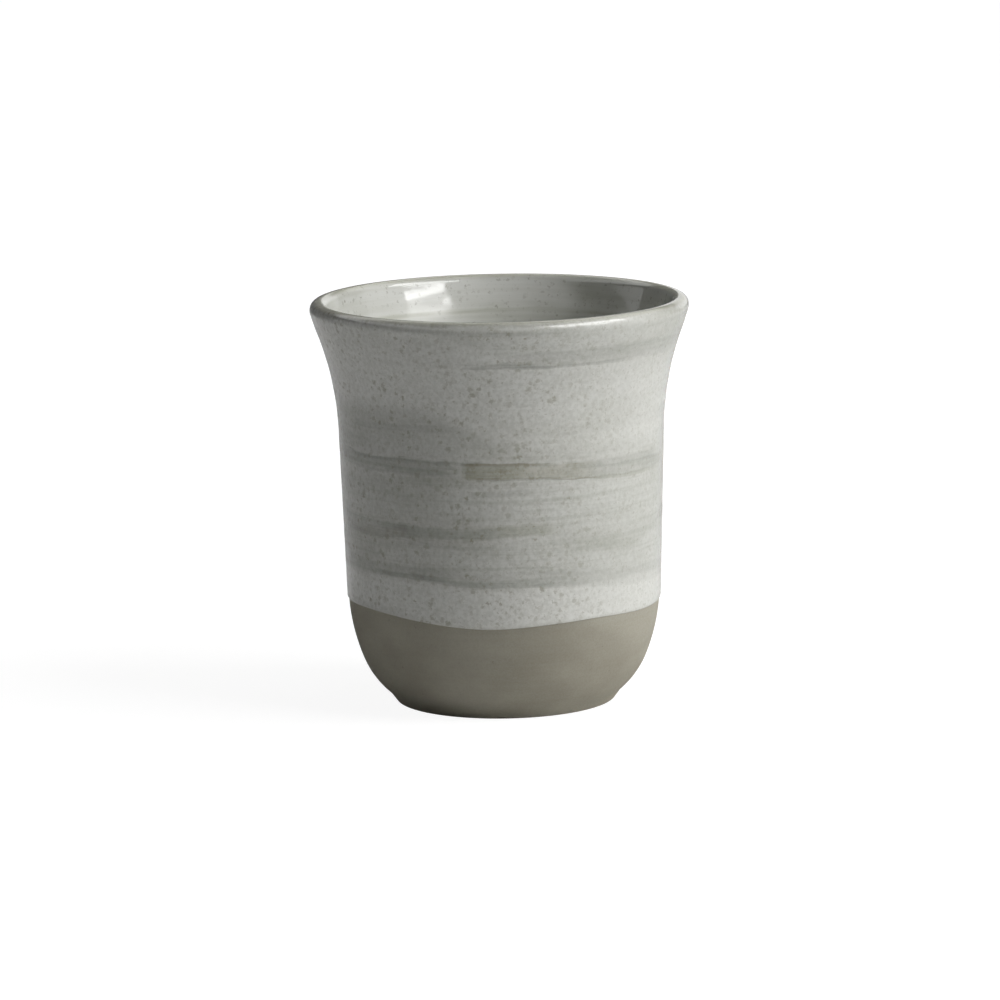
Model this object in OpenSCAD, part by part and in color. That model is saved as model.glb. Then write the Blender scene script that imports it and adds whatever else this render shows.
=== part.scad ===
// Stoneware cup without a handle: a thrown and turned clay body with a flared
// lip, dipped in glaze outside down to a bare band, and glazed inside.
// Lengths are in millimetres. The origin is the middle of the face that the cup
// stands on, and +Z runs up its axis. The front of the cup faces -Y.

/* [Overall size] */
// Height from the table to the crest of the glazed lip
cup_height = 91; // [86:0.5:100]
// Diameter across the widest part of the glazed lip
rim_diameter = 85; // [82:0.5:90]

/* [Wall] */
// Diameter of the clay at the top of the straight wall, where the flare starts
upper_wall_diameter = 72.6; // [70:0.2:75]
// Diameter of the clay at the bottom of the straight wall, where the bowl starts
lower_wall_diameter = 70.2; // [68:0.2:73]
// Thickness of the clay wall above the turn of the bowl
wall_thickness = 4.2; // [3.4:0.1:5.2]
// Thickness of the clay at the lip, which is a full round
lip_thickness = 3.4; // [2.8:0.1:4]

/* [Flare] */
// Depth from the crest of the lip down to where the flare starts
flare_depth = 29; // [24:0.5:36]
// Depth from the crest of the lip down to the steepest lean of the flare
throat_depth = 7; // [6:0.25:9]
// Share of the flare's spread that is left to the lip above that steepest lean
overhang_share = 0.3; // [0.2:0.01:0.4]

/* [Bowl] */
// Height at which the straight wall runs into the bowl
bowl_height = 25; // [21:0.5:30]
// Thickness of the floor over the hollow of the foot
floor_thickness = 3.8; // [3:0.1:5]

/* [Foot] */
// Height of the turned foot under the bowl
foot_height = 2.3; // [1.6:0.1:3]
// Diameter where the bowl meets the foot
foot_diameter = 52.6; // [50:0.2:55]
// Diameter across the outer edge of the standing ring
standing_diameter = 49.2; // [47:0.2:49.8]
// Diameter of the hollow turned under the foot
hollow_diameter = 39; // [34:0.5:42]
// Depth of that hollow
hollow_depth = 2; // [1:0.1:2.6]

/* [Glaze] */
// Thickness of both coats of glaze
glaze_thickness = 0.3; // [0.2:0.05:0.4]
// Height of the edge of the outer coat, at the axis of the cup
glaze_line_height = 23.8; // [16:0.2:45]
// Tilt of that edge in degrees, from the cup being dipped a little askew
dip_tilt = 2; // [0:0.1:3]
// Side that the edge is lowest on, in degrees from the front towards +X
dip_side = 20; // [-90:5:90]

/* [Hidden] */
// Facets of a drawn circle, and the turns in degrees between the points of a
// long arc and of a small round
facets = 120;
arc_step = 3;
round_step = 7.5;
// Rounding of the edges of the standing ring and of the corner of its hollow
arris_radius = 0.5;
hollow_fillet = 1.2;
// Lean of the side of the hollow, in degrees from upright
hollow_lean = 30;
// Where the bowl starts to draw in sharply, as shares of the way out and of the
// way up from the foot to the straight wall
turn_shares = [0.64, 0.34];

// Leans are in degrees from upright, positive where a wall opens upwards. The
// outward normal of a face that leans by a is [cos(a), -sin(a)], so the crest of
// the lip leans by -90 and the floor inside the cup by 90.
crest_lean = -90;
floor_lean = 90;
function along(lean) = [sin(lean), cos(lean)];
function outward(lean) = [cos(lean), -sin(lean)];
function lean_from(p, q) = atan2(q.x - p.x, q.y - p.y);
function unit(v) = v / norm(v);
function reversed(path) = [for (i = [len(path) - 1 : -1 : 0]) path[i]];

// Lean at the far end of an arc that starts at p with a known lean and ends at q
function end_lean(p, lean, q) = 2 * lean_from(p, q) - lean;

// Points of that arc after p, each as [radius, height, lean]
function arc_to(p, lean, q) =
    let (
        half_turn = lean_from(p, q) - lean,
        steps = max(1, ceil(abs(2 * half_turn) / arc_step))
    )
    [for (i = [1 : steps])
        let (
            share = i / steps,
            reach = abs(half_turn) < 0.001 ? share : sin(half_turn * share) / sin(half_turn),
            at = p + norm(q - p) * reach * along(lean + half_turn * share)
        )
        [at.x, at.y, lean + 2 * half_turn * share]];

// Points that round the corner at b of the path from a over b to c
function rounded(a, b, c, radius) =
    let (
        to_a = unit(a - b),
        to_c = unit(c - b),
        half = acos(to_a * to_c) / 2,
        centre = b + unit(to_a + to_c) * radius / sin(half),
        from = b + to_a * radius / tan(half) - centre,
        onto = b + to_c * radius / tan(half) - centre,
        start = atan2(from.y, from.x),
        turn = atan2(from.x * onto.y - from.y * onto.x, from * onto),
        steps = ceil(abs(turn) / round_step)
    )
    [for (i = [0 : steps])
        centre + radius * [cos(start + turn * i / steps), sin(start + turn * i / steps)]];

// Stations of the clay's outer face, from the foot up to the throat
foot_top = [foot_diameter / 2, foot_height];
wall_low = [lower_wall_diameter / 2, bowl_height];
bowl_reach = wall_low - foot_top;
bowl_turn = foot_top + [turn_shares.x * bowl_reach.x, turn_shares.y * bowl_reach.y];
wall_high = [upper_wall_diameter / 2, cup_height - flare_depth];
flare_spread = (rim_diameter - upper_wall_diameter) / 2;
throat = [rim_diameter / 2 - overhang_share * flare_spread, cup_height - throat_depth];

// The straight wall sets the lean, and each arc is tangent to the next
wall_lean = lean_from(wall_low, wall_high);
turn_lean = 2 * lean_from(bowl_turn, wall_low) - wall_lean;
foot_lean = 2 * lean_from(foot_top, bowl_turn) - turn_lean;
throat_lean = end_lean(wall_high, wall_lean, throat);

// The lip is a full round of clay under the glaze. The arc from the throat is
// tangent to it, so its chord leans as the line to the point of equal lean.
lip_radius = lip_thickness / 2;
lip_centre = [rim_diameter / 2, cup_height] - (lip_radius + glaze_thickness) * [1, 1];
lip_lean = end_lean(throat, throat_lean, lip_centre + lip_radius * outward(throat_lean));
lip_start = lip_centre + lip_radius * outward(lip_lean);

clay_face = concat(
    [[foot_top.x, foot_top.y, foot_lean]],
    arc_to(foot_top, foot_lean, bowl_turn),
    arc_to(bowl_turn, turn_lean, wall_low),
    arc_to(wall_low, wall_lean, wall_high),
    arc_to(wall_high, wall_lean, throat),
    arc_to(throat, throat_lean, lip_start));

// A point of the clay's face moved out along its normal by a coat, or in by a
// negative one
function moved(p, coat) = [p.x, p.y] + coat * outward(p.z);

// Points round the lip after the one at a first lean and on to another lean,
// under a coat of glaze or bare
function lip_round(coat, from, onto) =
    let (steps = ceil(abs(onto - from) / round_step))
    [for (i = [1 : steps])
        lip_centre + (lip_radius + coat) * outward(from + (onto - from) * i / steps)];

// The highest point of the clay or of its coat
function crest(coat) = lip_centre + (lip_radius + coat) * outward(crest_lean);

// Outer face of the clay or of its coat, from the foot up to the crest
function outer_face(coat) = concat(
    [for (p = clay_face) moved(p, coat)],
    lip_round(coat, lip_lean, crest_lean));

// The wall thickens evenly with depth, from the lip down to the bowl's turn
function wall_at(height) =
    let (share = (lip_start.y - height) / (lip_start.y - bowl_turn.y))
    lip_thickness + (wall_thickness - lip_thickness) * share;

// Inside, the wall runs into a flat floor over a quarter turn. The leans of the
// face are those of the clay outside at the same place.
floor_height = hollow_depth + floor_thickness;
corner_start = bowl_turn - wall_thickness * outward(turn_lean);
corner_radius = (corner_start.y - floor_height) / (1 - sin(turn_lean));
corner_centre = corner_start - corner_radius * outward(turn_lean);
corner_steps = ceil((floor_lean - turn_lean) / arc_step);
function corner(coat) =
    [for (i = [0 : corner_steps])
        let (lean = turn_lean + (floor_lean - turn_lean) * i / corner_steps)
        corner_centre + (corner_radius - coat) * outward(lean)];

// Inner face of the clay or of its coat, from below the crest down to the axis
function inner_face(coat) = concat(
    lip_round(coat, crest_lean, lip_lean - 180),
    [for (p = reversed(clay_face))
        if (p.y > bowl_turn.y && p.y < lip_start.y) moved(p, -wall_at(p.y) - coat)],
    corner(coat),
    [[0, floor_height + coat]]);

// Underside, from the axis out over the standing ring and up to the bowl
hollow_edge = [hollow_diameter / 2, 0];
hollow_corner = hollow_edge + hollow_depth * [-tan(hollow_lean), 1];
standing_edge = [standing_diameter / 2, 0];
hollow_middle = [0, hollow_depth];
underside = concat(
    [hollow_middle],
    rounded(hollow_middle, hollow_corner, hollow_edge, hollow_fillet),
    rounded(hollow_corner, hollow_edge, standing_edge, arris_radius),
    rounded(hollow_edge, standing_edge, foot_top, arris_radius));

// The thrown and turned clay: foot, bowl, wall, flare and lip in one piece
module stoneware_body() {
    color([0.62, 0.60, 0.54])
        rotate_extrude($fn = facets)
            polygon(concat(underside, outer_face(0), inner_face(0)));
}

// Space above the tilted edge that the dip left, as deep as the cup is high
module dipped_space() {
    translate([0, 0, glaze_line_height])
        rotate([0, 0, dip_side])
            rotate([dip_tilt, 0, 0])
                cylinder(h = cup_height, r = rim_diameter, $fn = facets);
}

// The outer coat of glaze, from its tilted edge up to the crest of the lip
module outer_glaze() {
    color([0.74, 0.75, 0.72])
        intersection() {
            rotate_extrude($fn = facets)
                polygon(concat(outer_face(glaze_thickness), reversed(outer_face(0))));
            dipped_space();
        }
}

// The liner, which meets the outer coat at the crest and covers the floor
module liner_glaze() {
    color([0.78, 0.79, 0.76])
        rotate_extrude($fn = facets)
            polygon(concat(
                [crest(0), crest(glaze_thickness)],
                inner_face(glaze_thickness),
                reversed(inner_face(0))));
}

stoneware_body();
outer_glaze();
liner_glaze();
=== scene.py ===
import math
import bmesh
import bpy
from mathutils import Matrix, Quaternion, Vector, noise


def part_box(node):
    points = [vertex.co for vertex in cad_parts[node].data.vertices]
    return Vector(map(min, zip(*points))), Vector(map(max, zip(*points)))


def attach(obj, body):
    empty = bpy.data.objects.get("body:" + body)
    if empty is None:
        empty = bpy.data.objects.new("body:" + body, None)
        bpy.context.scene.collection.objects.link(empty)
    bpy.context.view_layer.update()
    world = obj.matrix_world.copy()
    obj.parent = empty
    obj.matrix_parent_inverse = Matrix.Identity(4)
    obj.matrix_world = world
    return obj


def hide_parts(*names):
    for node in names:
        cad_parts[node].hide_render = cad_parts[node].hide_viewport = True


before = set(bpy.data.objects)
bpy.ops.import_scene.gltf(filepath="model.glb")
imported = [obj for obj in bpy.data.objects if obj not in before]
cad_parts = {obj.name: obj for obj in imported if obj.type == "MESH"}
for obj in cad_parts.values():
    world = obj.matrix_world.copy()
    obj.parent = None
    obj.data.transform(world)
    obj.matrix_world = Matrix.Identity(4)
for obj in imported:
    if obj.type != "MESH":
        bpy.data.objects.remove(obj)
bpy.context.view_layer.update()        # the clay body, the outer glaze and the liner
print("frame loaded:", ", ".join(sorted(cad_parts)))

# Outlines are drawn in millimetres, with the radius along X and the height along
# Z, and made metres when a piece is finished. Angles round the cup run from the
# front (-Y) towards +X.
mm = 0.001
straightTurn = 1e-5             # an arc that turns less than this is a line
rounding = 1e-6                 # how far a height may lie past the end of its arc
mergeReach = 0.002              # points nearer than this become one, millimetres
creaseAngle = math.radians(50)  # an edge that folds more than this stays sharp
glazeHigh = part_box("outer_glaze")[1] / mm
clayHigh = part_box("stoneware_body")[1] / mm

form = {                        # the thrown and turned shape
    "height": glazeHigh.z,
    "rim": glazeHigh.x,         # radius across the glazed lip
    "coat": glazeHigh.z - clayHigh.z,
    "upperWall": 36.3,          # radius where the flare starts
    "lowerWall": 35.1,          # radius where the bowl starts
    "flareDepth": 29.0,
    "throatDepth": 7.0,
    "overhangShare": 0.3,       # of the flare's spread, left to the lip
    "lip": 3.4,                 # thickness of the clay at the lip
    "wall": 4.2,                # and low down
    "bowlHeight": 25.0,
    "turnShares": (0.64, 0.34),
    "footHeight": 2.3,
    "foot": 26.3,               # radius where the bowl meets the foot
    "standing": 24.6,           # radius of the standing ring
    "hollow": 19.5,             # and of the hollow under the foot
    "hollowDepth": 2.0,
    "hollowLean": 30.0,         # of its side, degrees from upright
    "floor": 3.8,               # thickness over the hollow
    "steps": 240,               # points round the cup
}

throwing = {                    # what the hand and the wheel leave
    "outOfRound": 0.14,         # how far the lip draws in, millimetres
    "outOfRoundSide": 35.0,
    "skin": 1.5,                # what lies no deeper than this is outside
    "outerRing": 0.035,         # depth of the rings outside
    "outerPitch": 6.5,
    "outerStart": -1.0,         # where they start, from the top of the bowl
    "innerRing": 0.10,          # and the same inside
    "innerPitch": 7.5,
    "innerStart": 4.0,          # from the floor
    "fadeIn": 6.0,              # height over which the rings begin
    "fadeOut": 5.0,             # and over which they end, under the lip
    "waver": 0.5,               # pitches that a ring wanders
    "waverSize": (30.0, 30.0, 18.0),
    "still": 1.0,               # points nearer to the axis stay where they are
}


def outward(lean):
    return Vector((math.cos(lean), -math.sin(lean)))


def leanOf(start, end):
    return math.atan2(end.x - start.x, end.y - start.y)


def stretchBetween(start, lean, end):       # the arc that leaves start at a lean and ends at end
    half = leanOf(start, end) - lean
    bend = (end - start).length / (2 * math.sin(half)) if abs(half) > straightTurn else None
    centre = start + outward(lean) * bend if bend else None
    return {"start": start, "end": end, "lean": lean, "turn": 2 * half, "bend": bend, "centre": centre}


# Stations of the clay's outer face, from the foot to the lip
footTop = Vector((form["foot"], form["footHeight"]))
wallLow = Vector((form["lowerWall"], form["bowlHeight"]))
reach = wallLow - footTop
bowlTurn = footTop + Vector((form["turnShares"][0] * reach.x, form["turnShares"][1] * reach.y))
wallHigh = Vector((form["upperWall"], form["height"] - form["flareDepth"]))
spread = form["rim"] - form["upperWall"]
throat = Vector((form["rim"] - form["overhangShare"] * spread, form["height"] - form["throatDepth"]))
lipRadius = form["lip"] / 2
lipCentre = Vector((form["rim"], form["height"])) - (lipRadius + form["coat"]) * Vector((1, 1))

wallLean = leanOf(wallLow, wallHigh)
turnLean = 2 * leanOf(bowlTurn, wallLow) - wallLean
footLean = 2 * leanOf(footTop, bowlTurn) - turnLean
throatLean = 2 * leanOf(wallHigh, throat) - wallLean
lipLean = 2 * leanOf(throat, lipCentre + lipRadius * outward(throatLean)) - throatLean
lipStart = lipCentre + lipRadius * outward(lipLean)
crestLean = math.radians(-90)
floorLean = math.radians(90)
outerTurn = crestLean - lipLean             # round the lip from the outer face to the crest
innerTurn = lipLean - math.pi - crestLean   # and on to the inner face
stretches = [
    stretchBetween(footTop, footLean, bowlTurn),
    stretchBetween(bowlTurn, turnLean, wallLow),
    stretchBetween(wallLow, wallLean, wallHigh),
    stretchBetween(wallHigh, wallLean, throat),
    stretchBetween(throat, throatLean, lipStart),
]

# The inside: the wall thickens with depth and runs into a flat floor
floorHeight = form["hollowDepth"] + form["floor"]
cornerStart = bowlTurn - form["wall"] * outward(turnLean)
cornerRadius = (cornerStart.y - floorHeight) / (1 - math.sin(turnLean))
cornerCentre = cornerStart - cornerRadius * outward(turnLean)


def wallAt(height):
    share = (lipStart.y - height) / (lipStart.y - bowlTurn.y)
    return form["lip"] + (form["wall"] - form["lip"]) * share


def faceAt(height):              # the clay's outer face at a height, and its lean there
    height = min(max(height, footTop.y), lipStart.y)
    part = next(s for s in stretches if height <= s["end"].y + rounding)
    if part["bend"] is None:
        share = (height - part["start"].y) / (part["end"].y - part["start"].y)
        return part["start"].lerp(part["end"], share), part["lean"]
    lean = math.asin((height - part["centre"].y) / part["bend"])
    return part["centre"] - part["bend"] * outward(lean), lean


def drawLine(bm, tip, point, row=math.inf):     # in one piece, or in rows of about a length
    start = tip.co.copy()
    end = Vector((point.x, 0, point.y))
    parts = max(1, math.ceil((end - start).length / row))
    for i in range(parts):
        after = bm.verts.new(start.lerp(end, (i + 1) / parts))
        bm.edges.new((tip, after))
        tip = after
    return tip


def drawArc(bm, tip, centre, turn, row):
    radius = (Vector((tip.co.x, tip.co.z)) - centre).length
    parts = max(1, math.ceil(abs(turn) * radius / row))
    pivot = (centre.x, 0, centre.y)
    made = bmesh.ops.spin(bm, geom=[tip], cent=pivot, axis=(0, 1, 0), angle=turn, steps=parts)
    return made["geom_last"][0]


def drawFace(bm, tip, low, coat, row):      # up the clay's outer face from a height, a coat away
    for part in stretches:
        if part["end"].y <= low:
            continue
        if part["bend"] is None:
            tip = drawLine(bm, tip, part["end"] + coat * outward(part["lean"]), row)
            continue
        lean = faceAt(low)[1] if part["start"].y < low else part["lean"]
        tip = drawArc(bm, tip, part["centre"], part["lean"] + part["turn"] - lean, row)
    return tip


def drawInside(bm, tip, coat, row):         # and down its inner face, from the lip to the floor
    rows = math.ceil((lipStart.y - bowlTurn.y) / row)
    for i in range(rows + 1):
        face, lean = faceAt(lipStart.y + (bowlTurn.y - lipStart.y) * i / rows)
        tip = drawLine(bm, tip, face - (wallAt(face.y) + coat) * outward(lean))
    return drawArc(bm, tip, cornerCentre, floorLean - turnLean, row)


def roundCorner(bm, corner, offset, segments):
    bmesh.ops.bevel(
        bm, geom=[corner], offset=offset, offset_type="OFFSET", segments=segments,
        profile=0.5, affect="VERTICES", material=-1,
    )


def turnOnWheel(bm):             # the section becomes the whole piece
    section = list(bm.verts) + list(bm.edges)
    bmesh.ops.spin(
        bm, geom=section, cent=(0, 0, 0), axis=(0, 0, 1), angle=math.tau, steps=form["steps"],
        use_merge=True,
    )
    bmesh.ops.remove_doubles(bm, verts=bm.verts, dist=mergeReach)
    bmesh.ops.recalc_face_normals(bm, faces=bm.faces)


def sideOf(place):               # degrees from the front towards +X
    return math.degrees(math.atan2(place.x, -place.y))


def away(a, b):                  # signed degrees from b to a
    return (a - b + 180) % 360 - 180


def within(share):
    return min(max(share, 0), 1)


def pushOut(place, shift):       # away from the axis
    radius = math.hypot(place.x, place.y)
    place.x += place.x / radius * shift
    place.y += place.y / radius * shift


def throwByHand(bm):             # slight rings and a lip that isn't a true circle
    for vert in bm.verts:
        place = vert.co
        radius = math.hypot(place.x, place.y)
        if radius < throwing["still"]:
            continue
        side = sideOf(place)
        turned = math.radians(side - throwing["outOfRoundSide"])
        drawnIn = throwing["outOfRound"] * (place.z / form["height"]) * (1 - math.cos(2 * turned)) / 2
        outside = radius > faceAt(place.z)[0].x - throwing["skin"]
        if outside:
            depth, pitch = -throwing["outerRing"], throwing["outerPitch"]
            low = form["bowlHeight"] + throwing["outerStart"]
        else:
            depth, pitch = throwing["innerRing"], throwing["innerPitch"]
            low = floorHeight + throwing["innerStart"]
        size = throwing["waverSize"]
        waver = noise.noise(Vector((place.x / size[0], place.y / size[1], place.z / size[2])))
        turns = place.z / pitch + side / 360 + throwing["waver"] * waver
        ring = 0.5 + 0.5 * math.sin(math.tau * turns)
        fade = within((place.z - low) / throwing["fadeIn"])
        fade *= within((throat.y - place.z) / throwing["fadeOut"])
        pushOut(place, depth * ring * fade - drawnIn)


def finishPiece(bm, name, material, node):
    for face in bm.faces:
        face.smooth = True
    for edge in bm.edges:
        edge.smooth = len(edge.link_faces) == 2 and edge.calc_face_angle() < creaseAngle
    bmesh.ops.scale(bm, vec=(mm, mm, mm), verts=bm.verts)
    mesh = bpy.data.meshes.new(name)
    bm.to_mesh(mesh)
    bm.free()
    mesh.materials.append(material)
    piece = bpy.data.objects.new(name, mesh)
    bpy.context.collection.objects.link(piece)
    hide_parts(node)
    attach(piece, "root")
    print(name, "made:", len(mesh.vertices), "points")


# Clay body

clay = {
    "bareRow": 0.45,             # row height on the bare band, millimetres
    "hiddenRow": 2.6,            # and where glaze covers or backs a face
    "hiddenLipRow": 0.3,
    "lipRow": 0.25,
    "arris": 0.25,               # rounding of the standing ring
    "arrisSteps": 4,
    "hollowFillet": 1.2,
    "filletSteps": 6,
    "turningDepth": 0.005,       # lines that the turning tool left on the bare clay
    "turningPitch": 0.9,
    "turningRise": 0.4,          # in one turn
    "turningChange": 3.0,        # how much a line changes on its way round
    "turningSlice": 7.0,         # of the noise
    "turningLow": 0.6,           # height where the lines start
    "turningFade": 3.0,          # and over which they end under the wall
    "turningSkin": 1.0,          # only the face of the clay has them
}


def turnClay(bm):                # fine lines of the tool on the bowl and the foot
    for vert in bm.verts:
        place = vert.co
        if place.z > form["bowlHeight"] or place.z < clay["turningLow"]:
            continue
        if math.hypot(place.x, place.y) < faceAt(place.z)[0].x - clay["turningSkin"]:
            continue
        turn = sideOf(place) / 360
        height = (place.z + turn * clay["turningRise"]) / clay["turningPitch"]
        line = noise.noise(Vector((turn * clay["turningChange"], clay["turningSlice"], height)))
        fade = min((form["bowlHeight"] - place.z) / clay["turningFade"], 1)
        pushOut(place, -clay["turningDepth"] * (0.5 + line) * fade)


def makeClayBody(material):
    bm = bmesh.new()
    slope = math.tan(math.radians(form["hollowLean"])) * form["hollowDepth"]
    middle = bm.verts.new((0, 0, form["hollowDepth"]))
    corner = drawLine(bm, middle, Vector((form["hollow"] - slope, form["hollowDepth"])))
    innerArris = drawLine(bm, corner, Vector((form["hollow"], 0)))
    outerArris = drawLine(bm, innerArris, Vector((form["standing"], 0)))
    tip = drawLine(bm, outerArris, footTop)
    tip = drawFace(bm, tip, footTop.y, 0, clay["bareRow"])
    tip = drawArc(bm, tip, lipCentre, outerTurn, clay["lipRow"])
    tip = drawArc(bm, tip, lipCentre, innerTurn, clay["lipRow"])
    tip = drawInside(bm, tip, 0, clay["hiddenRow"])
    drawLine(bm, tip, Vector((0, floorHeight)))
    roundCorner(bm, corner, clay["hollowFillet"], clay["filletSteps"])
    roundCorner(bm, innerArris, clay["arris"], clay["arrisSteps"])
    roundCorner(bm, outerArris, clay["arris"], clay["arrisSteps"])
    turnOnWheel(bm)
    throwByHand(bm)
    turnClay(bm)
    finishPiece(bm, "turnedClayBody", material, "stoneware_body")


# Outer glaze

dip = {
    "line": 23.8,                # height of the glaze's edge at the axis, millimetres
    "tilt": 2.0,
    "side": 20.0,                # where it is lowest, degrees
    "row": 0.8,                  # row height on the wall
    "lipRow": 0.12,
    "sunk": 0.06,                # how far the hidden face lies in the clay
    "edgeRound": 0.22,
    "edgeSteps": 4,
    "follow": 12.0,              # height over which the rows follow the edge
    "wander": 0.10,              # of the edge between its waves
    "wanderReach": 4.0,          # round the noise
    "wanderSlice": 3.3,
    "waves": [                   # side, reach in degrees, lift
        (-55, 36, 0.75), (-8, 26, -0.5), (33, 32, 0.62), (76, 20, -0.2),
        (118, 30, 0.5), (160, 26, -0.4), (207, 32, 0.55), (252, 26, -0.3),
    ],
}


def dipEdgeAt(side):             # height of the glaze's edge
    turned = math.radians(side - dip["side"])
    height = dip["line"] - form["lowerWall"] * math.tan(math.radians(dip["tilt"])) * math.cos(turned)
    for middle, width, lift in dip["waves"]:
        off = abs(away(side, middle)) / width
        if off < 1:
            height += lift * (0.5 + 0.5 * math.cos(math.pi * off))
    turned = math.radians(side)
    reach = dip["wanderReach"]
    place = Vector((reach * math.cos(turned), reach * math.sin(turned), dip["wanderSlice"]))
    return height + dip["wander"] * noise.noise(place)


def followEdge(bm):              # the rows near the edge follow it, and each point keeps its height above it
    aboveEdge = bm.verts.layers.float.new("aboveEdge")
    for vert in bm.verts:
        place = vert.co
        vert[aboveEdge] = place.z - dip["line"]
        above = within(vert[aboveEdge] / dip["follow"])
        if above >= 1:
            continue
        lift = (dipEdgeAt(sideOf(place)) - dip["line"]) * (1 - above) ** 2
        pushOut(place, faceAt(place.z + lift)[0].x - faceAt(place.z)[0].x)
        place.z += lift


def makeOuterGlaze(material):
    bm = bmesh.new()
    start, lean = faceAt(dip["line"])
    hidden = start - dip["sunk"] * outward(lean)
    first = bm.verts.new((hidden.x, 0, hidden.y))
    lowCorner = drawLine(bm, first, start + form["coat"] * outward(lean))
    tip = drawFace(bm, lowCorner, dip["line"], form["coat"], dip["row"])
    tip = drawArc(bm, tip, lipCentre, outerTurn, dip["lipRow"])
    tip = drawLine(bm, tip, lipCentre + (lipRadius - dip["sunk"]) * outward(crestLean))
    tip = drawArc(bm, tip, lipCentre, -outerTurn, clay["hiddenLipRow"])
    for part in reversed(stretches):        # and back down, a little way in the clay
        if part["end"].y <= dip["line"]:
            break
        if part["bend"] is None:
            tip = drawLine(bm, tip, part["start"] - dip["sunk"] * outward(part["lean"]), clay["hiddenRow"])
            continue
        startLean = faceAt(max(part["start"].y, dip["line"]))[1]
        tip = drawArc(bm, tip, part["centre"], startLean - part["lean"] - part["turn"], clay["hiddenRow"])
    roundCorner(bm, lowCorner, dip["edgeRound"], dip["edgeSteps"])
    bmesh.ops.remove_doubles(bm, verts=bm.verts, dist=mergeReach)
    turnOnWheel(bm)
    followEdge(bm)
    throwByHand(bm)
    finishPiece(bm, "dippedOuterGlaze", material, "outer_glaze")


# Liner glaze

liner = {
    "row": 0.9,                  # row height on the wall, millimetres
    "lipRow": 0.12,
    "sunk": 0.06,                # how far the hidden face lies in the clay
    "floorRow": 1.6,
}


def makeLiner(material):
    bm = bmesh.new()
    top = lipCentre + (lipRadius - liner["sunk"]) * outward(crestLean)
    first = bm.verts.new((top.x, 0, top.y))
    tip = drawLine(bm, first, lipCentre + (lipRadius + form["coat"]) * outward(crestLean))
    tip = drawArc(bm, tip, lipCentre, innerTurn, liner["lipRow"])
    tip = drawInside(bm, tip, form["coat"], liner["row"])
    drawLine(bm, tip, Vector((0, floorHeight + form["coat"])), liner["floorRow"])
    tip = drawArc(bm, first, lipCentre, innerTurn, clay["hiddenLipRow"])
    tip = drawInside(bm, tip, -liner["sunk"], clay["hiddenRow"])
    drawLine(bm, tip, Vector((0, floorHeight - liner["sunk"])))
    bmesh.ops.remove_doubles(bm, verts=bm.verts, dist=mergeReach)
    turnOnWheel(bm)
    throwByHand(bm)
    finishPiece(bm, "pouredLiner", material, "liner_glaze")


# Nodes

def addNode(tree, kind, inputs=None, **settings):
    made = tree.nodes.new(kind)
    for name, value in settings.items():
        setattr(made, name, value)
    for name, value in (inputs or {}).items():
        if isinstance(value, bpy.types.NodeSocket):
            tree.links.new(value, made.inputs[name])
        else:
            made.inputs[name].default_value = value
    return made


def calc(tree, operation, *values):
    return addNode(tree, "ShaderNodeMath", dict(enumerate(values)), operation=operation).outputs[0]


def times(tree, value, *others):
    for other in others:
        value = calc(tree, "MULTIPLY", value, other)
    return value


def swing(tree, pattern):        # a noise about zero
    return calc(tree, "SUBTRACT", pattern, 0.5)


def ease(tree, value, start, end, low=0.0, high=1.0):
    inputs = {"Value": value, "From Min": start, "From Max": end, "To Min": low, "To Max": high}
    return addNode(tree, "ShaderNodeMapRange", inputs, interpolation_type="SMOOTHSTEP").outputs[0]


def blend(tree, amount, under, over, mode="MIX"):
    inputs = {0: amount, 6: under, 7: over}
    return addNode(tree, "ShaderNodeMix", inputs, data_type="RGBA", blend_type=mode).outputs[2]


def darken(tree, amount, under, over):
    return blend(tree, amount, under, over, "MULTIPLY")


def noiseAt(tree, scale, detail=2.0, rough=0.5, shift=(0, 0, 0)):       # with a scale along each axis
    place = addNode(tree, "ShaderNodeTexCoord").outputs["Object"]
    placed = addNode(tree, "ShaderNodeMapping", {"Vector": place, "Scale": scale, "Location": shift})
    inputs = {"Vector": placed.outputs[0], "Scale": 1.0, "Detail": detail, "Roughness": rough}
    return addNode(tree, "ShaderNodeTexNoise", inputs).outputs[0]


def newGroup(name, inputs, outputs):
    group = bpy.data.node_groups.new(name, "ShaderNodeTree")
    for way, sockets in (("INPUT", inputs), ("OUTPUT", outputs)):
        for kind, names in sockets:
            for socket in names:
                group.interface.new_socket(socket, in_out=way, socket_type="NodeSocket" + kind)
    into = group.nodes.new("NodeGroupInput").outputs
    out = group.nodes.new("NodeGroupOutput").inputs
    return group, into, out


def makeCupPlace():              # the side in degrees and the height in millimetres
    group, into, out = newGroup("cupPlace", [], [("Float", ["Side", "Height"])])
    place = addNode(group, "ShaderNodeTexCoord").outputs["Object"]
    parts = addNode(group, "ShaderNodeSeparateXYZ", {0: place}).outputs
    back = calc(group, "MULTIPLY", parts[1], -1.0)
    side = calc(group, "DEGREES", calc(group, "ARCTAN2", parts[0], back))
    group.links.new(side, out["Side"])
    group.links.new(calc(group, "MULTIPLY", parts[2], 1 / mm), out["Height"])
    return group


strokeFields = ["Middle", "Reach", "Level", "Rise", "Thickness", "Upper", "Lower", "Start", "End", "Strength"]

brush = {
    "frayed": 0.9,               # how far the hairs stray past the upper and lower edge, millimetres
    "frayedEnds": 12.0,          # and past the ends at most, degrees
    "load": (1.1, 0.45),         # spread and least of the colour that a hair carries
}


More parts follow.
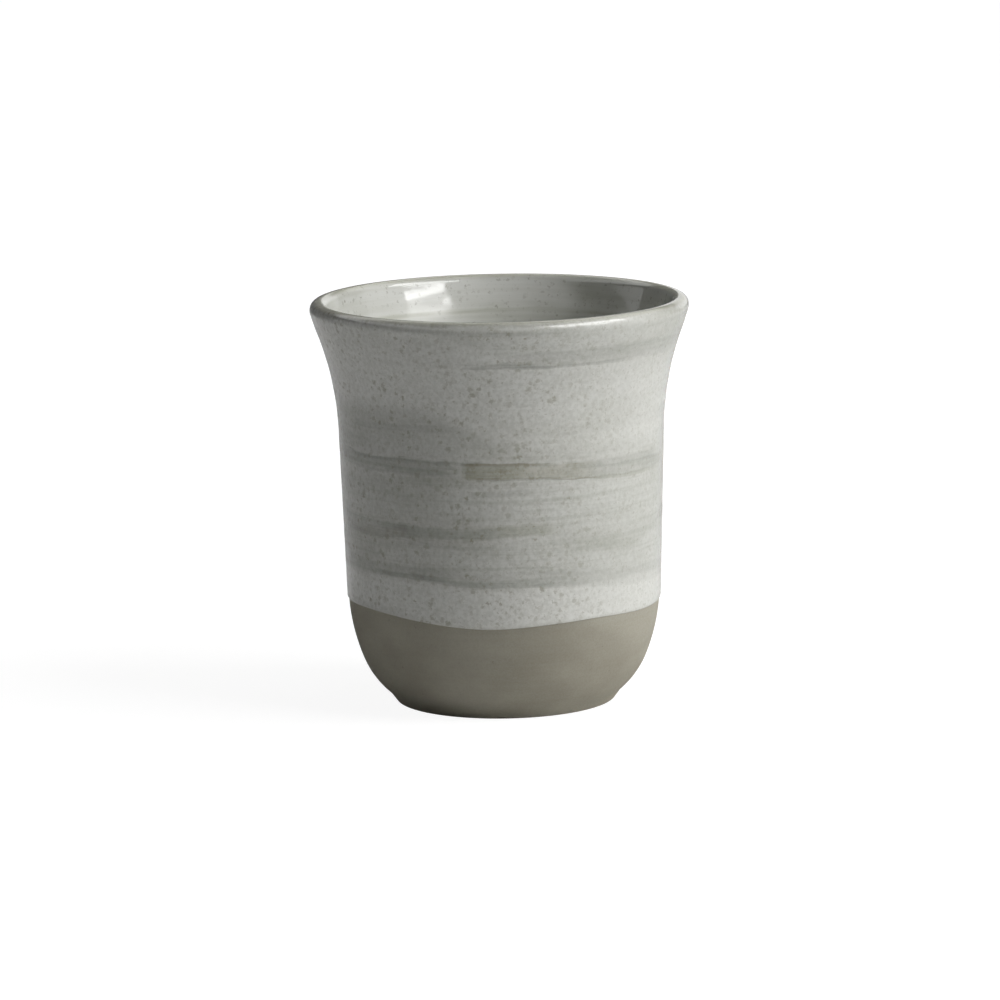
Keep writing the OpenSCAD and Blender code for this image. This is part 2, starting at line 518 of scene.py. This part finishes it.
def makeBrushStroke():           # one stroke of the brush, darker or browner than what lies under it
    sockets = [("Color", ["Under", "Tint"]), ("Float", ["Side", "Height", "Hairs"] + strokeFields)]
    group, into, out = newGroup("brushStroke", sockets, [("Color", ["Colour"])])
    off = calc(group, "WRAP", calc(group, "SUBTRACT", into["Side"], into["Middle"]), 180.0, -180.0)
    level = calc(group, "MULTIPLY_ADD", off, into["Rise"], into["Level"])
    hair = swing(group, into["Hairs"])
    edge = calc(group, "MULTIPLY_ADD", hair, brush["frayed"], level)
    above = calc(group, "SUBTRACT", into["Height"], edge)
    frayedEnds = calc(group, "MINIMUM", into["Start"], brush["frayedEnds"])
    ragged = calc(group, "MULTIPLY_ADD", hair, frayedEnds, off)
    nearEnd = calc(group, "MULTIPLY", into["Reach"], -1.0)
    begin = ease(group, ragged, calc(group, "SUBTRACT", nearEnd, into["Start"]), nearEnd)
    finish = ease(group, ragged, calc(group, "ADD", into["Reach"], into["End"]), into["Reach"])
    under = calc(group, "MULTIPLY", into["Thickness"], -1.0)
    top = ease(group, above, calc(group, "ADD", into["Thickness"], into["Upper"]), into["Thickness"])
    bottom = ease(group, above, calc(group, "SUBTRACT", under, into["Lower"]), under)
    loaded = calc(group, "MULTIPLY_ADD", into["Hairs"], *brush["load"])
    amount = times(group, begin, finish, times(group, top, bottom), into["Strength"], loaded)
    group.links.new(darken(group, amount, into["Under"], into["Tint"]), out["Colour"])
    return group


specks = {
    "raggedScale": 1900.0,       # of the noise that makes their outlines ragged
    "raggedReach": 0.0013,       # metres
    "sizes": (0.8, 0.5),         # spread and least, as shares of the size asked for
    "solid": 0.45,               # share of the radius that isn't faded
    "depths": (0.7, 0.3),        # spread and least of their strength
}


def makeSpecks():                # ragged spots that the iron in the clay burns through the glaze
    sockets = [("Float", ["Scale", "Size", "Share"])]
    group, into, out = newGroup("ironSpecks", sockets, [("Float", ["Amount"])])
    place = addNode(group, "ShaderNodeTexCoord").outputs["Object"]
    inputs = {"Vector": place, "Scale": specks["raggedScale"], "Detail": 1.0}
    ragged = addNode(group, "ShaderNodeTexNoise", inputs).outputs["Color"]
    inputs = {0: ragged, 1: (0.5, 0.5, 0.5)}
    bend = addNode(group, "ShaderNodeVectorMath", inputs, operation="SUBTRACT").outputs[0]
    inputs = {0: bend, "Scale": specks["raggedReach"]}
    bend = addNode(group, "ShaderNodeVectorMath", inputs, operation="SCALE").outputs[0]
    place = addNode(group, "ShaderNodeVectorMath", {0: place, 1: bend}).outputs[0]
    cells = addNode(group, "ShaderNodeTexVoronoi", {"Vector": place, "Scale": into["Scale"]}).outputs
    chance = addNode(group, "ShaderNodeSeparateColor", {0: cells["Color"]}).outputs
    size = calc(group, "MULTIPLY", into["Size"], calc(group, "MULTIPLY_ADD", chance[1], *specks["sizes"]))
    spot = ease(group, cells["Distance"], size, calc(group, "MULTIPLY", size, specks["solid"]))
    shown = calc(group, "LESS_THAN", chance[0], into["Share"])
    depth = calc(group, "MULTIPLY_ADD", chance[2], *specks["depths"])
    group.links.new(times(group, spot, shown, depth), out["Amount"])
    return group


cupPlace = makeCupPlace()
brushStroke = makeBrushStroke()
ironSpecks = makeSpecks()


def placeOnCup(tree):
    return addNode(tree, "ShaderNodeGroup", node_tree=cupPlace).outputs


def speckle(tree, scale, size, share):
    inputs = {"Scale": scale, "Size": size, "Share": share}
    return addNode(tree, "ShaderNodeGroup", inputs, node_tree=ironSpecks).outputs[0]


def startMaterial(name):
    material = bpy.data.materials.new(name)
    material.use_nodes = True
    tree = material.node_tree
    return material, tree, tree.nodes["Principled BSDF"]


def roughen(tree, shader, height, depth):       # bump of so many millimetres
    inputs = {"Height": height, "Distance": depth * mm, "Strength": 1.0}
    tree.links.new(addNode(tree, "ShaderNodeBump", inputs).outputs[0], shader.inputs["Normal"])


# Finishes

# In a look, a pattern is a noise: its scale along each axis, detail, roughness and
# shift. An ease is where it starts and ends and, where given, its result at each.
# Specks are a scale, a size and the share of cells that hold one.
glazeLook = {
    "base": (0.625, 0.630, 0.590, 1),
    # pale glaze, also used as painted light on the left of the flare
    "paleAndLit": (0.728, 0.730, 0.690, 1),
    "thin": (0.50, 0.49, 0.44, 1),
    "cloud": (0.89, 0.89, 0.875, 1),
    "streak": (0.84, 0.845, 0.82, 1),
    "grain": (0.87, 0.87, 0.855, 1),
    "speck": (0.27, 0.25, 0.175, 1),
    "lip": (0.86, 0.85, 0.77, 1),
    "greyTint": (0.78, 0.78, 0.77, 1),
    "oliveTint": (0.79, 0.785, 0.735, 1),
    "brownTint": (0.79, 0.765, 0.69, 1),
    "umberTint": (0.82, 0.78, 0.77, 1),
    "darkTint": (0.62, 0.62, 0.60, 1),
    "mottlePattern": ((300, 300, 800), 3.0, 0.6, (8, 3, 5)),
    "mottleShare": 1.1,          # of the mottle in the hairs of the brush
    "hairPattern": ((40, 40, 1500), 3.0, 0.6),
    "streakPattern": ((26, 26, 800), 3.0, 0.6, (3, 1, 7)),
    "streakEase": (0.45, 0.70),
    "brushedByHeight": (66.0, 59.0, 0.40, 0.85),
    "brushedBySide": (0.3, 0.8, 1.0, 0.6),
    "cloudPattern": ((38, 38, 110), 3.0, 0.55, (5, 2, 0)),
    "cloudEase": (0.40, 0.66),
    "cloudyEdge": 5.0,           # how far the clouds shift the edge of a pale band, millimetres
    "paleTilt": 1.5,             # how much lower the band over the bare clay ends on the right, millimetres
    "paleByHeight": (32.6, 30.6, 0.0, 0.9),
    "leftward": (0.3, -0.6),
    "flareStart": (9.0, 62.0),   # height where the paler glaze and the painted light on the flare start, after their rise to the left
    "flareByHeight": (-2.0, 2.0),
    "flareTopShift": -9.0,       # takes its upper edge higher on the left
    "flareTop": (83.0, 79.5),
    # on the right the flare is paler at this share; the full strength on the left adds painted light for
    # light bounced up from the floor
    "flareBySide": (0.0, 1.0, 0.45, 1.0),
    "sweepPattern": ((60, 60, 60), 2.0, 0.5, (4, 4, 1)),
    "sweep": 1.8,                # how far the strokes wander up and down, millimetres
    "lipPattern": ((60, 60, 60), 1.0),
    "lipWaver": 0.8,
    "lipDepths": (0.5, -0.3),    # below the crest, where the thin glaze starts and is full
    "grainPattern": ((1100, 1100, 1100), 3.0, 0.6),
    "grainEase": (0.35, 0.65),
    "grainBySide": (0.2, 0.8, 1.0, 0.6),
    "fineSpecks": (1300.0, 0.38, 0.85),
    "fineStrength": 0.34,
    "coarseSpecks": (640.0, 0.43, 0.90),
    "coarseStrength": 0.64,
    "crowdPattern": ((90, 90, 90), 1.0, 0.5, (1, 9, 4)),
    "crowdEase": (0.3, 0.65, 0.55, 1.0),
    "crowdBySide": (0.15, 0.75, 1.0, 0.30),
    "thinAboveEdge": (0.9, 0.1, 0.0, 0.35),         # by millimetres above the glaze's edge
    "satin": (0.3, 0.7, 0.17, 0.26),
    "glossDepths": (3.5, 1.5),   # below the crest, where the lip turns glossier
    "glossShare": 0.32,
    "ripplePattern": ((420, 420, 420), 2.0),
    "rippleStreaks": 0.6,
    "speckPit": 0.6,
    "rippleDepth": 0.016,        # millimetres
}

# Each stroke: tint, side of its middle, reach to each end, level, rise per degree,
# half thickness, softness of its upper and lower edge, of its start and end, strength
strokes = [
    ("greyTint", 2, 14, 90.0, 0.0, 1.3, 1.0, 1.2, 10, 10, 0.42),
    ("darkTint", 0, 8, 81.1, 0.0, 0.30, 0.7, 0.5, 5, 14, 0.60),
    ("greyTint", 24, 14, 80.7, -0.004, 0.25, 0.5, 0.3, 10, 12, 0.60),
    ("greyTint", 38, 22, 82.3, -0.004, 1.4, 1.2, 0.6, 16, 20, 0.48),
    ("greyTint", -28, 12, 82.0, 0.0, 0.9, 1.4, 1.2, 16, 16, 0.22),
    ("greyTint", -38, 18, 85.8, 0.0, 1.3, 1.2, 1.5, 12, 14, 0.30),
    ("greyTint", -40, 17, 66.5, 0.012, 0.45, 0.8, 0.6, 10, 10, 0.62),
    ("greyTint", 50, 24, 66.2, 0.0, 0.8, 1.2, 1.0, 18, 14, 0.16),
    ("greyTint", -66, 9, 62.0, 0.0, 1.0, 1.5, 1.5, 10, 10, 0.40),
    ("greyTint", -42, 23, 58.1, 0.0, 1.45, 0.6, 0.7, 18, 4, 0.80),
    ("darkTint", -42, 17, 59.4, -0.004, 0.15, 0.35, 0.5, 14, 10, 0.40),
    ("greyTint", -16, 6, 59.2, 0.0, 0.25, 0.4, 0.5, 4, 4, 0.55),
    ("brownTint", 6, 18, 57.3, -0.012, 1.65, 0.6, 0.35, 1, 16, 0.66),
    ("oliveTint", -6, 7.5, 57.6, 0.0, 1.55, 0.6, 0.4, 1, 10, 0.60),
    ("darkTint", 2, 14, 59.0, -0.006, 0.10, 0.3, 0.5, 3, 8, 0.40),
    ("darkTint", 12, 16, 55.5, -0.018, 0.10, 0.4, 0.2, 6, 14, 0.50),
    ("greyTint", 48, 16, 58.0, -0.022, 0.55, 0.7, 0.6, 14, 12, 0.50),
    ("oliveTint", 44, 14, 54.9, -0.03, 0.25, 0.4, 0.35, 10, 14, 0.70),
    ("greyTint", 44, 22, 56.4, -0.02, 1.0, 0.8, 0.8, 10, 16, 0.40),
    ("greyTint", -1, 7, 52.6, 0.0, 0.35, 0.5, 0.5, 5, 6, 0.45),
    ("greyTint", -52, 15, 43.4, 0.0, 1.5, 0.6, 0.6, 14, 10, 0.62),
    ("umberTint", -50, 12, 42.8, 0.0, 0.9, 0.5, 0.5, 8, 8, 0.45),
    ("greyTint", -20, 16, 43.7, 0.004, 0.75, 0.7, 0.5, 8, 6, 0.60),
    ("oliveTint", -8, 5, 44.0, 0.03, 1.5, 0.6, 0.5, 2, 4, 0.42),
    ("oliveTint", 7, 6, 44.3, 0.0, 1.0, 0.8, 0.7, 4, 10, 0.76),
    ("greyTint", -22, 10, 40.9, 0.0, 0.2, 0.4, 0.3, 8, 8, 0.50),
    ("greyTint", -48, 24, 34.3, -0.012, 1.0, 0.7, 0.7, 8, 8, 0.54),
    ("darkTint", -38, 9, 33.4, -0.01, 0.35, 0.5, 0.5, 10, 8, 0.45),
    ("greyTint", -4, 26, 33.6, -0.02, 1.2, 1.2, 0.9, 12, 12, 0.28),
    ("darkTint", -4, 19, 31.9, -0.028, 0.18, 1.2, 0.25, 14, 8, 0.36),
    ("greyTint", 44, 30, 31.9, -0.05, 1.5, 1.4, 0.8, 16, 14, 0.38),
    ("greyTint", 50, 26, 38.5, 0.0, 3.5, 2.0, 2.0, 18, 14, 0.10),
    ("greyTint", -56, 12, 24.8, 0.0, 0.5, 0.9, 0.5, 8, 12, 0.45),
    ("oliveTint", 128, 30, 57.0, -0.01, 1.5, 0.5, 0.4, 6, 24, 0.66),
    ("greyTint", 172, 34, 58.6, 0.005, 0.8, 0.6, 0.8, 16, 12, 0.60),
    ("brownTint", -138, 24, 57.6, 0.008, 1.3, 0.5, 0.5, 22, 3, 0.62),
    ("greyTint", -104, 20, 44.2, 0.01, 1.3, 0.8, 0.9, 12, 12, 0.52),
    ("oliveTint", -160, 26, 42.6, -0.01, 1.4, 0.6, 0.6, 5, 22, 0.55),
    ("greyTint", 118, 34, 43.6, 0.012, 1.2, 0.9, 0.7, 14, 14, 0.46),
    ("greyTint", 132, 40, 33.2, 0.02, 1.1, 1.5, 0.5, 14, 14, 0.56),
    ("greyTint", -128, 34, 33.8, 0.01, 1.2, 1.5, 0.6, 12, 14, 0.58),
    ("greyTint", 150, 40, 67.8, 0.0, 1.0, 1.2, 0.9, 20, 20, 0.36),
    ("oliveTint", -120, 30, 81.8, 0.004, 0.8, 1.2, 0.5, 14, 24, 0.50),
    ("darkTint", 160, 16, 82.2, 0.0, 0.25, 0.7, 0.4, 12, 18, 0.42),
]


def belowCrest(depths):
    return [form["height"] - depth for depth in depths]


def thinOverLip(tree, height, colour):      # the glaze runs thin over the crest of the lip
    waver = noiseAt(tree, *glazeLook["lipPattern"])
    edge = calc(tree, "MULTIPLY_ADD", waver, glazeLook["lipWaver"], height)
    amount = ease(tree, edge, *belowCrest(glazeLook["lipDepths"]))
    return darken(tree, amount, colour, glazeLook["lip"])


def paleAndLitZones(tree, look, across, clouds, height):      # a paler band over the bare clay, and on the flare paler glaze with painted light on its left side, where light bounced up from the floor falls
    cloudy = calc(tree, "MULTIPLY_ADD", swing(tree, clouds), look["cloudyEdge"], height)
    low = calc(tree, "MULTIPLY_ADD", across, look["paleTilt"], cloudy)
    low = ease(tree, low, *look["paleByHeight"])
    leftward = ease(tree, across, *look["leftward"])
    start = calc(tree, "MULTIPLY_ADD", leftward, *look["flareStart"])
    flare = ease(tree, calc(tree, "SUBTRACT", cloudy, start), *look["flareByHeight"])
    upper = calc(tree, "MULTIPLY_ADD", leftward, look["flareTopShift"], height)
    upper = ease(tree, upper, *look["flareTop"])
    flare = times(tree, flare, upper, ease(tree, leftward, *look["flareBySide"]))
    return calc(tree, "MAXIMUM", low, flare)


def makeOuterFinish():
    look = glazeLook
    material, tree, shader = startMaterial("brushedGlaze")
    side, height = placeOnCup(tree)[:2]
    across = calc(tree, "SINE", calc(tree, "RADIANS", side))
    mottle = swing(tree, noiseAt(tree, *look["mottlePattern"]))
    hairs = calc(tree, "MULTIPLY_ADD", mottle, look["mottleShare"], noiseAt(tree, *look["hairPattern"]))
    streaks = noiseAt(tree, *look["streakPattern"])
    clouds = noiseAt(tree, *look["cloudPattern"])
    colour = darken(tree, ease(tree, clouds, *look["cloudEase"]), look["base"], look["cloud"])
    brushed = ease(tree, height, *look["brushedByHeight"])
    brushed = times(tree, brushed, ease(tree, across, *look["brushedBySide"]))
    colour = darken(tree, ease(tree, streaks, *look["streakEase"], 0, brushed), colour, look["streak"])
    # paler band over the bare clay, and paler glaze on the flare with painted light on its left side
    colour = blend(tree, paleAndLitZones(tree, look, across, clouds, height), colour, look["paleAndLit"])
    sweep = swing(tree, noiseAt(tree, *look["sweepPattern"]))
    swept = calc(tree, "MULTIPLY_ADD", sweep, look["sweep"], height)
    for tint, *numbers in strokes:
        inputs = {"Under": colour, "Tint": look[tint], "Side": side, "Height": swept, "Hairs": hairs}
        inputs.update(zip(strokeFields, map(float, numbers)))
        colour = addNode(tree, "ShaderNodeGroup", inputs, node_tree=brushStroke).outputs[0]
    colour = thinOverLip(tree, height, colour)
    grain = ease(tree, noiseAt(tree, *look["grainPattern"]), *look["grainEase"])
    grain = times(tree, grain, ease(tree, across, *look["grainBySide"]))
    colour = darken(tree, grain, colour, look["grain"])
    fine = speckle(tree, *look["fineSpecks"])
    coarse = speckle(tree, *look["coarseSpecks"])
    crowd = ease(tree, noiseAt(tree, *look["crowdPattern"]), *look["crowdEase"])
    crowd = times(tree, crowd, ease(tree, across, *look["crowdBySide"]))
    colour = blend(tree, times(tree, fine, look["fineStrength"]), colour, look["speck"])
    colour = blend(tree, times(tree, coarse, crowd, look["coarseStrength"]), colour, look["speck"])
    above = addNode(tree, "ShaderNodeAttribute", attribute_name="aboveEdge").outputs["Fac"]
    colour = blend(tree, ease(tree, above, *look["thinAboveEdge"]), colour, look["thin"])
    tree.links.new(colour, shader.inputs["Base Color"])
    satin = ease(tree, streaks, *look["satin"])
    satin = times(tree, satin, ease(tree, height, *belowCrest(look["glossDepths"]), 1.0, look["glossShare"]))
    tree.links.new(satin, shader.inputs["Roughness"])
    ripple = noiseAt(tree, *look["ripplePattern"])
    ripple = calc(tree, "MULTIPLY_ADD", streaks, look["rippleStreaks"], ripple)
    ripple = calc(tree, "SUBTRACT", ripple, times(tree, coarse, look["speckPit"]))
    roughen(tree, shader, ripple, look["rippleDepth"])
    return material


linerLook = {
    "base": (0.632, 0.637, 0.597, 1),
    "cloud": (0.88, 0.885, 0.86, 1),
    "streak": (0.90, 0.90, 0.88, 1),
    "speck": (0.20, 0.185, 0.135, 1),
    "ring": (0.80, 0.80, 0.75, 1),
    "cloudPattern": ((45, 45, 120), 3.0, 0.55, (2, 8, 1)),
    "cloudEase": (0.40, 0.70),
    "streakPattern": ((24, 24, 700), 3.0, 0.6, (6, 1, 3)),
    "streakEase": (0.42, 0.68, 0.0, 0.8),
    "ringPattern": ((40, 40, 300), 3.0, 0.65),
    "ringWaver": 1.6,
    "ringHeight": 84.0,          # of the faint darker ring under the lip, before its waver
    "ringEase": (0.8, 0.1),
    "ringByStreaks": (0.3, 0.6, 0.35, 1.0),
    "fineSpecks": (1100.0, 0.34, 0.70),
    "fineStrength": 0.26,
    "coarseSpecks": (620.0, 0.30, 0.70),
    "coarseStrength": 0.50,
    "satin": (0.3, 0.7, 0.07, 0.11),
    "satinByHeight": (85.5, 83.5, 1.0, 2.4),
    "ripplePattern": ((330, 330, 330), 2.0),
    "speckPit": 0.6,
    "rippleDepth": 0.014,        # millimetres
}


def makeLinerFinish():
    look = linerLook
    material, tree, shader = startMaterial("pouredGlaze")
    height = placeOnCup(tree)["Height"]
    clouds = noiseAt(tree, *look["cloudPattern"])
    colour = darken(tree, ease(tree, clouds, *look["cloudEase"]), look["base"], look["cloud"])
    streaks = noiseAt(tree, *look["streakPattern"])
    colour = darken(tree, ease(tree, streaks, *look["streakEase"]), colour, look["streak"])
    below = calc(tree, "SUBTRACT", height, look["ringHeight"])
    offRing = calc(tree, "MULTIPLY_ADD", noiseAt(tree, *look["ringPattern"]), look["ringWaver"], below)
    ring = ease(tree, calc(tree, "ABSOLUTE", offRing), *look["ringEase"])
    ring = times(tree, ring, ease(tree, streaks, *look["ringByStreaks"]))
    colour = darken(tree, ring, colour, look["ring"])
    colour = thinOverLip(tree, height, colour)
    fine = speckle(tree, *look["fineSpecks"])
    coarse = speckle(tree, *look["coarseSpecks"])
    colour = blend(tree, times(tree, fine, look["fineStrength"]), colour, look["speck"])
    colour = blend(tree, times(tree, coarse, look["coarseStrength"]), colour, look["speck"])
    tree.links.new(colour, shader.inputs["Base Color"])
    satin = times(tree, ease(tree, clouds, *look["satin"]), ease(tree, height, *look["satinByHeight"]))
    tree.links.new(satin, shader.inputs["Roughness"])
    ripple = noiseAt(tree, *look["ripplePattern"])
    ripple = calc(tree, "SUBTRACT", ripple, times(tree, coarse, look["speckPit"]))
    roughen(tree, shader, ripple, look["rippleDepth"])
    return material


clayLook = {
    "base": (0.412, 0.392, 0.327, 1),
    "dark": (0.80, 0.79, 0.77, 1),
    "grain": (0.93, 0.925, 0.915, 1),
    "line": (0.98, 0.978, 0.97, 1),
    "pit": (0.13, 0.12, 0.095, 1),
    "cloudPattern": ((36, 36, 60), 4.0, 0.55),
    "cloudEase": (0.35, 0.70),
    "linePattern": ((14, 14, 900), 3.0, 0.6, (4, 0, 2)),
    "lineEase": (0.42, 0.68),
    "grainPattern": ((2600, 2600, 2600), 2.0, 0.6),
    "grainEase": (0.35, 0.70),
    "pits": (700.0, 0.20, 0.10),
    "pitStrength": 0.45,
    "pitDepth": 1.5,
    "matt": (0.3, 0.7, 0.78, 0.92),
    "shine": 0.3,
    "lineDepth": 0.4,
    "surfaceDepth": 0.02,        # millimetres
}


def makeClayFinish():
    look = clayLook
    material, tree, shader = startMaterial("bareStoneware")
    clouds = noiseAt(tree, *look["cloudPattern"])
    lines = noiseAt(tree, *look["linePattern"])
    grain = noiseAt(tree, *look["grainPattern"])
    colour = darken(tree, ease(tree, clouds, *look["cloudEase"]), look["base"], look["dark"])
    colour = darken(tree, ease(tree, lines, *look["lineEase"]), colour, look["line"])
    colour = darken(tree, ease(tree, grain, *look["grainEase"]), colour, look["grain"])
    pits = speckle(tree, *look["pits"])
    colour = blend(tree, times(tree, pits, look["pitStrength"]), colour, look["pit"])
    tree.links.new(colour, shader.inputs["Base Color"])
    tree.links.new(ease(tree, grain, *look["matt"]), shader.inputs["Roughness"])
    shader.inputs["Specular IOR Level"].default_value = look["shine"]
    surface = calc(tree, "MULTIPLY_ADD", lines, look["lineDepth"], grain)
    surface = calc(tree, "SUBTRACT", surface, times(tree, pits, look["pitDepth"]))
    roughen(tree, shader, surface, look["surfaceDepth"])
    return material


clayFinish = makeClayFinish()
outerFinish = makeOuterFinish()
linerFinish = makeLinerFinish()
print("finishes mixed:", len(strokes), "brush strokes")

makeClayBody(clayFinish)
makeOuterGlaze(outerFinish)
makeLiner(linerFinish)


# Floor, light and camera

white = (1, 1, 1, 1)

studio = {
    "floorRadius": 8.0,
    "floorSegments": 64,
    "floorColour": (0.85, 0.85, 0.845, 1),
    "floorRoughness": 0.9,
    "mirroredFloorColour": (0.24, 0.24, 0.24, 1),
    "shadowShare": 0.08,         # of the seen floor that takes the cup's shadow
    "shadowReach": (0.10, 0.4),  # metres from the cup's axis where that share starts to fade and ends
    "ambient": (0.010, 0.010, 0.011, 1),
    "frontwards": (0.34, -0.94, 0),         # the side that is mirrored as bright
    "frontEase": (-0.1, 0.6),
    "mirroredLow": 1.0,          # brightness of the surroundings in a mirror image, in front and low
    "mirroredBehind": 0.12,      # behind the cup and low
    "lowEase": (0.50, 0.40),     # sines of the angles up where the low part ends
    "mirroredBand": 1.6,         # and in a band above that, fullest from 33 to 37 degrees up
    "bandStart": (0.45, 0.54),   # sines again
    "bandEnd": (0.90, 0.60),
    "bandFall": 0.09,            # how much lower the band starts in front
    "mirroredFloor": 0.12,
    "lampDistance": 1.2,
    "lampAim": (0, 0, 0.05),
}

# Each lamp: degrees from the front towards +X, rise, width and height in metres, watts
lamps = {
    "wideSoftbox": (71.0, 32.0, 0.78, 1.20, 14.5),
    "topSoftbox": (115.0, 67.0, 0.80, 0.80, 2.3),
    "lowSoftboxBehind": (160.0, 11.0, 0.80, 0.40, 0.85),
    "lowSoftboxLeft": (-100.0, 12.0, 0.80, 0.35, 0.75),
}
# and each card that is seen only as a mirror image in the glaze, with its turn in degrees
cards = {
    "brightCard": (56.5, 27.3, 0.62, 0.070, 1.30, -4.0),
    "tallCard": (56.0, 30.6, 0.62, 0.140, 1.05, -4.0),
    "lipCard": (64.0, 45.0, 1.00, 0.44, 11.0, 0.0),
    "wideCard": (90.0, 20.0, 0.80, 0.70, 1.5, 0.0),
}

view = {
    "eye": (0, -1.1823, 0.2511),
    "aim": (-0.00058, 0, 0.0450),
    "roll": -1.037,              # degrees
    "lens": 192.07,
    "sensor": 36,
    "clip": (0.05, 50),
}


def seenDirectly(tree):          # by the camera, and by the camera or in a mirror image
    path = addNode(tree, "ShaderNodeLightPath").outputs
    either = calc(tree, "MAXIMUM", path["Is Camera Ray"], path["Is Glossy Ray"])
    return path["Is Camera Ray"], calc(tree, "MAXIMUM", either, path["Is Transmission Ray"])


def makeFloor():
    material, tree, shader = startMaterial("paleFloor")
    shader.inputs["Base Color"].default_value = studio["floorColour"]
    shader.inputs["Roughness"].default_value = studio["floorRoughness"]
    shader.inputs["Specular IOR Level"].default_value = 0.0
    byCamera, seen = seenDirectly(tree)
    place = addNode(tree, "ShaderNodeTexCoord").outputs["Object"]
    distance = addNode(tree, "ShaderNodeVectorMath", {0: place}, operation="LENGTH").outputs["Value"]
    glow = ease(tree, distance, *studio["shadowReach"], 1 - studio["shadowShare"], 1.0)
    glow = times(tree, glow, calc(tree, "MAXIMUM", byCamera, studio["mirroredFloor"]))
    glowing = addNode(tree, "ShaderNodeEmission", {"Color": white, "Strength": glow}).outputs[0]
    seenColour = blend(tree, byCamera, studio["floorColour"], studio["mirroredFloorColour"])
    lit = addNode(tree, "ShaderNodeBsdfDiffuse", {"Color": seenColour}).outputs[0]
    shown = addNode(tree, "ShaderNodeAddShader", {0: glowing, 1: lit}).outputs[0]
    mixed = addNode(tree, "ShaderNodeMixShader", {0: seen, 1: shader.outputs[0], 2: shown})
    tree.links.new(mixed.outputs[0], tree.nodes["Material Output"].inputs["Surface"])
    bm = bmesh.new()
    bmesh.ops.create_circle(bm, cap_ends=True, radius=studio["floorRadius"], segments=studio["floorSegments"])
    mesh = bpy.data.meshes.new("paleFloor")
    bm.to_mesh(mesh)
    bm.free()
    mesh.materials.append(material)
    floor = bpy.data.objects.new("paleFloor", mesh)
    bpy.context.collection.objects.link(floor)


def lightWorld():
    world = bpy.data.worlds.new("paleSurroundings")
    world.use_nodes = True
    bpy.context.scene.world = world
    tree = world.node_tree
    byCamera, seen = seenDirectly(tree)
    towards = addNode(tree, "ShaderNodeTexCoord").outputs["Generated"]
    rise = addNode(tree, "ShaderNodeSeparateXYZ", {0: towards}).outputs[2]
    inputs = {0: towards, 1: studio["frontwards"]}
    before = addNode(tree, "ShaderNodeVectorMath", inputs, operation="DOT_PRODUCT").outputs["Value"]
    front = ease(tree, before, *studio["frontEase"])
    low = ease(tree, front, 0.0, 1.0, studio["mirroredBehind"], studio["mirroredLow"])
    low = times(tree, low, ease(tree, rise, *studio["lowEase"]))
    start = calc(tree, "MULTIPLY_ADD", front, studio["bandFall"], rise)
    band = times(tree, ease(tree, start, *studio["bandStart"]), ease(tree, rise, *studio["bandEnd"]))
    mirrored = calc(tree, "MULTIPLY_ADD", band, studio["mirroredBand"], low)
    glow = calc(tree, "MAXIMUM", byCamera, mirrored)
    dim = addNode(tree, "ShaderNodeBackground", {"Color": studio["ambient"], "Strength": 1.0}).outputs[0]
    bright = addNode(tree, "ShaderNodeBackground", {"Color": white, "Strength": glow}).outputs[0]
    mixed = addNode(tree, "ShaderNodeMixShader", {0: seen, 1: dim, 2: bright}).outputs[0]
    tree.links.new(mixed, tree.nodes["World Output"].inputs["Surface"])


def hangLamp(name, side, rise, width, height, power, turn=0.0, lights=True, mirrored=True):
    side, rise = math.radians(side), math.radians(rise)
    back = Vector((math.sin(side) * math.cos(rise), -math.cos(side) * math.cos(rise), math.sin(rise)))
    lamp = bpy.data.lights.new(name, "AREA")
    lamp.shape = "RECTANGLE"
    lamp.size, lamp.size_y = width, height
    lamp.energy = power
    holder = bpy.data.objects.new(name, lamp)
    holder.location = back * studio["lampDistance"] + Vector(studio["lampAim"])
    turned = back.to_track_quat("Z", "Y") @ Quaternion((0, 0, 1), math.radians(turn))
    holder.rotation_euler = turned.to_euler()
    holder.visible_camera = False
    holder.visible_diffuse = lights
    holder.visible_glossy = mirrored
    bpy.context.collection.objects.link(holder)


def setCamera():
    eye, aim = Vector(view["eye"]), Vector(view["aim"])
    lens = bpy.data.cameras.new("camera")
    lens.lens = view["lens"]
    lens.sensor_width = view["sensor"]
    lens.clip_start, lens.clip_end = view["clip"]
    camera = bpy.data.objects.new("camera", lens)
    turned = (aim - eye).to_track_quat("-Z", "Y").to_matrix().to_4x4()
    rolled = Matrix.Rotation(math.radians(view["roll"]), 4, "Z")
    camera.matrix_world = Matrix.Translation(eye) @ turned @ rolled
    bpy.context.collection.objects.link(camera)
    bpy.context.scene.camera = camera


makeFloor()
lightWorld()
for name, settings in lamps.items():
    hangLamp(name, *settings, mirrored=name != "wideSoftbox")
for name, settings in cards.items():
    hangLamp(name, *settings, lights=False)
setCamera()
bpy.context.scene.view_settings.view_transform = "Standard"
print("studio set")

bpy.context.view_layer.update()
